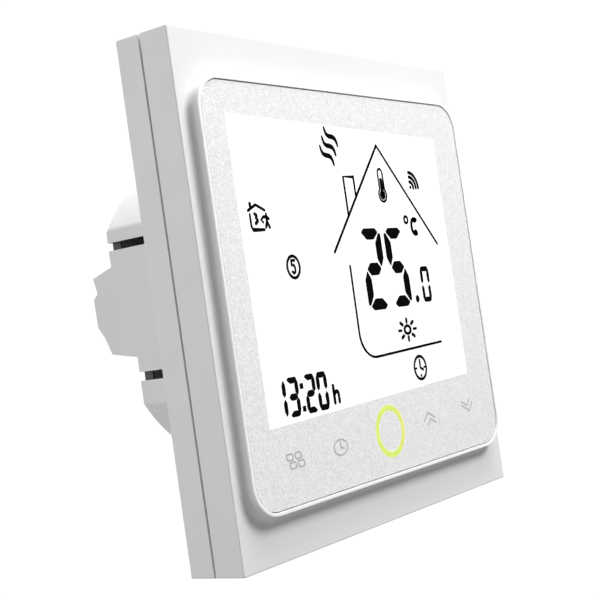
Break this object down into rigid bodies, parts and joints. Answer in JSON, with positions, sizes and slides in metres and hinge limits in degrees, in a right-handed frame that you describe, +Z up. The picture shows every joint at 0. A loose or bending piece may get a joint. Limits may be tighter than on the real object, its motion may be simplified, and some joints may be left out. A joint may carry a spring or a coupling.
{
  "type": "wall thermostat",
  "caption": "Square flush wall thermostat: pull-off touch display front, wall plate with slotted screw holes, and a stepped round rear housing with relay and screw terminals.",
  "frame": {"origin": "centre of the two wall box screws, in the wall's surface plane", "axes": "+Y into the wall, +Z up, +X to the right as seen from the room"},
  "size_m": [0.086, 0.0449, 0.086],
  "materials": {
    "shell_white": "moulded white ABS, satin to semi-gloss",
    "panel_pearl": "pearl-white back-printed panel with fine sparkle, glossy",
    "display_glass": "display glass, glossy",
    "display_light": "backlight diffuser, lit white, emissive",
    "ring_light": "clear light guide lit yellow-green, emissive",
    "light_chip": "lamp chip, clear resin",
    "screw_steel": "zinc-plated steel",
    "cage_steel": "zinc-plated pressed steel",
    "contact_brass": "plain brass strip",
    "gold_plate": "gold-flashed pins",
    "pin_tin": "tinned pins",
    "bare_iron": "nickel-plated iron",
    "shield_tin": "tin-plated shield, brushed",
    "circuit_green": "glass-fibre board with green solder mask",
    "circuit_blue": "glass-fibre board with dark blue solder mask",
    "terminal_plastic": "black moulded nylon",
    "black_plastic": "black moulded plastic",
    "relay_blue": "blue moulded relay case",
    "copper_wire": "enamelled copper winding",
    "ferrite": "grey-black sintered ferrite",
    "winding_tape": "yellow polyester winding tape",
    "capacitor_sleeve": "shrink-sleeved aluminium can",
    "capacitor_yellow": "yellow moulded film capacitor box",
    "fuse_body": "ceramic tube with metal caps",
    "varistor_coat": "blue epoxy-coated disc",
    "chip_black": "moulded epoxy chip body",
    "tape_black": "double-sided foam tape",
    "sensor_epoxy": "epoxy bead sensor"
  },
  "bodies": {
    "wall_unit": {"wall_plate": "shell_white", "rear_housing": "shell_white", "housing_screws": "screw_steel", "power_board": "circuit_green", "terminal_block": "terminal_plastic", "contact_bars": "contact_brass", "relay_base": "black_plastic", "relay_case": "relay_blue", "relay_coil": "copper_wire", "relay_yoke": "bare_iron", "relay_contacts": "contact_brass", "transformer_core": "ferrite", "transformer_bobbin": "black_plastic", "transformer_winding": "winding_tape", "bulk_capacitor": "capacitor_sleeve", "filter_capacitor": "capacitor_yellow", "fuse": "fuse_body", "varistor": "varistor_coat", "rectifier": "chip_black", "supply_chip": "chip_black", "header_base": "black_plastic", "header_pins": "gold_plate"},
    "front_module": {"front_frame": "shell_white", "glass_panel": "panel_pearl", "panel_tape": "tape_black", "lcd_glass": "display_glass", "backlight": "display_light", "lcd_pins": "pin_tin", "control_board": "circuit_green", "board_screws": "screw_steel", "touch_springs": "screw_steel", "ring_light_guide": "ring_light", "key_lights": "light_chip", "processor_chip": "chip_black", "wireless_board": "circuit_blue", "wireless_shield": "shield_tin", "buzzer": "black_plastic", "room_sensor": "sensor_epoxy", "header_socket": "black_plastic"},
    "relay_armature": {"relay_armature": "bare_iron"},
    "screw_1": {"terminal_screw_1": "screw_steel"},
    "cage_1": {"clamp_cage_1": "cage_steel"},
    "screw_2": {"terminal_screw_2": "screw_steel"},
    "cage_2": {"clamp_cage_2": "cage_steel"},
    "screw_3": {"terminal_screw_3": "screw_steel"},
    "cage_3": {"clamp_cage_3": "cage_steel"},
    "screw_4": {"terminal_screw_4": "screw_steel"},
    "cage_4": {"clamp_cage_4": "cage_steel"},
    "screw_5": {"terminal_screw_5": "screw_steel"},
    "cage_5": {"clamp_cage_5": "cage_steel"},
    "screw_6": {"terminal_screw_6": "screw_steel"},
    "cage_6": {"clamp_cage_6": "cage_steel"}
  },
  "joints": [
    {"name": "front_pull_off", "type": "slide", "parent": "wall_unit", "child": "front_module", "axis": [0, -1, 0], "range_m": [0, 0.03]},
    {"name": "armature_swing", "type": "hinge", "parent": "wall_unit", "child": "relay_armature", "pos_m": [0.0018, 0.0163, 0.0156], "axis": [0, 0, 1], "range_deg": [0, 3.5], "stiffness_Nm_per_rad": 0.001},
    {"name": "terminal_screw_1_turn", "type": "hinge", "parent": "wall_unit", "child": "screw_1", "pos_m": [-0.01588, 0.02, -0.0136], "axis": [0, -1, 0], "range_deg": [0, 2160]},
    {"name": "clamp_cage_1_rise", "type": "slide", "parent": "wall_unit", "child": "cage_1", "axis": [0, 1, 0], "range_m": [0, 0.003]},
    {"name": "terminal_screw_2_turn", "type": "hinge", "parent": "wall_unit", "child": "screw_2", "pos_m": [-0.00953, 0.02, -0.0136], "axis": [0, -1, 0], "range_deg": [0, 2160]},
    {"name": "clamp_cage_2_rise", "type": "slide", "parent": "wall_unit", "child": "cage_2", "axis": [0, 1, 0], "range_m": [0, 0.003]},
    {"name": "terminal_screw_3_turn", "type": "hinge", "parent": "wall_unit", "child": "screw_3", "pos_m": [-0.00317, 0.02, -0.0136], "axis": [0, -1, 0], "range_deg": [0, 2160]},
    {"name": "clamp_cage_3_rise", "type": "slide", "parent": "wall_unit", "child": "cage_3", "axis": [0, 1, 0], "range_m": [0, 0.003]},
    {"name": "terminal_screw_4_turn", "type": "hinge", "parent": "wall_unit", "child": "screw_4", "pos_m": [0.00317, 0.02, -0.0136], "axis": [0, -1, 0], "range_deg": [0, 2160]},
    {"name": "clamp_cage_4_rise", "type": "slide", "parent": "wall_unit", "child": "cage_4", "axis": [0, 1, 0], "range_m": [0, 0.003]},
    {"name": "terminal_screw_5_turn", "type": "hinge", "parent": "wall_unit", "child": "screw_5", "pos_m": [0.00953, 0.02, -0.0136], "axis": [0, -1, 0], "range_deg": [0, 2160]},
    {"name": "clamp_cage_5_rise", "type": "slide", "parent": "wall_unit", "child": "cage_5", "axis": [0, 1, 0], "range_m": [0, 0.003]},
    {"name": "terminal_screw_6_turn", "type": "hinge", "parent": "wall_unit", "child": "screw_6", "pos_m": [0.01588, 0.02, -0.0136], "axis": [0, -1, 0], "range_deg": [0, 2160]},
    {"name": "clamp_cage_6_rise", "type": "slide", "parent": "wall_unit", "child": "cage_6", "axis": [0, 1, 0], "range_m": [0, 0.003]}
  ],
  "couplings": [
    {"joint": "terminal_screw_1_turn", "follows": "clamp_cage_1_rise", "rad_per_m": 12566},
    {"joint": "terminal_screw_2_turn", "follows": "clamp_cage_2_rise", "rad_per_m": 12566},
    {"joint": "terminal_screw_3_turn", "follows": "clamp_cage_3_rise", "rad_per_m": 12566},
    {"joint": "terminal_screw_4_turn", "follows": "clamp_cage_4_rise", "rad_per_m": 12566},
    {"joint": "terminal_screw_5_turn", "follows": "clamp_cage_5_rise", "rad_per_m": 12566},
    {"joint": "terminal_screw_6_turn", "follows": "clamp_cage_6_rise", "rad_per_m": 12566}
  ]
}
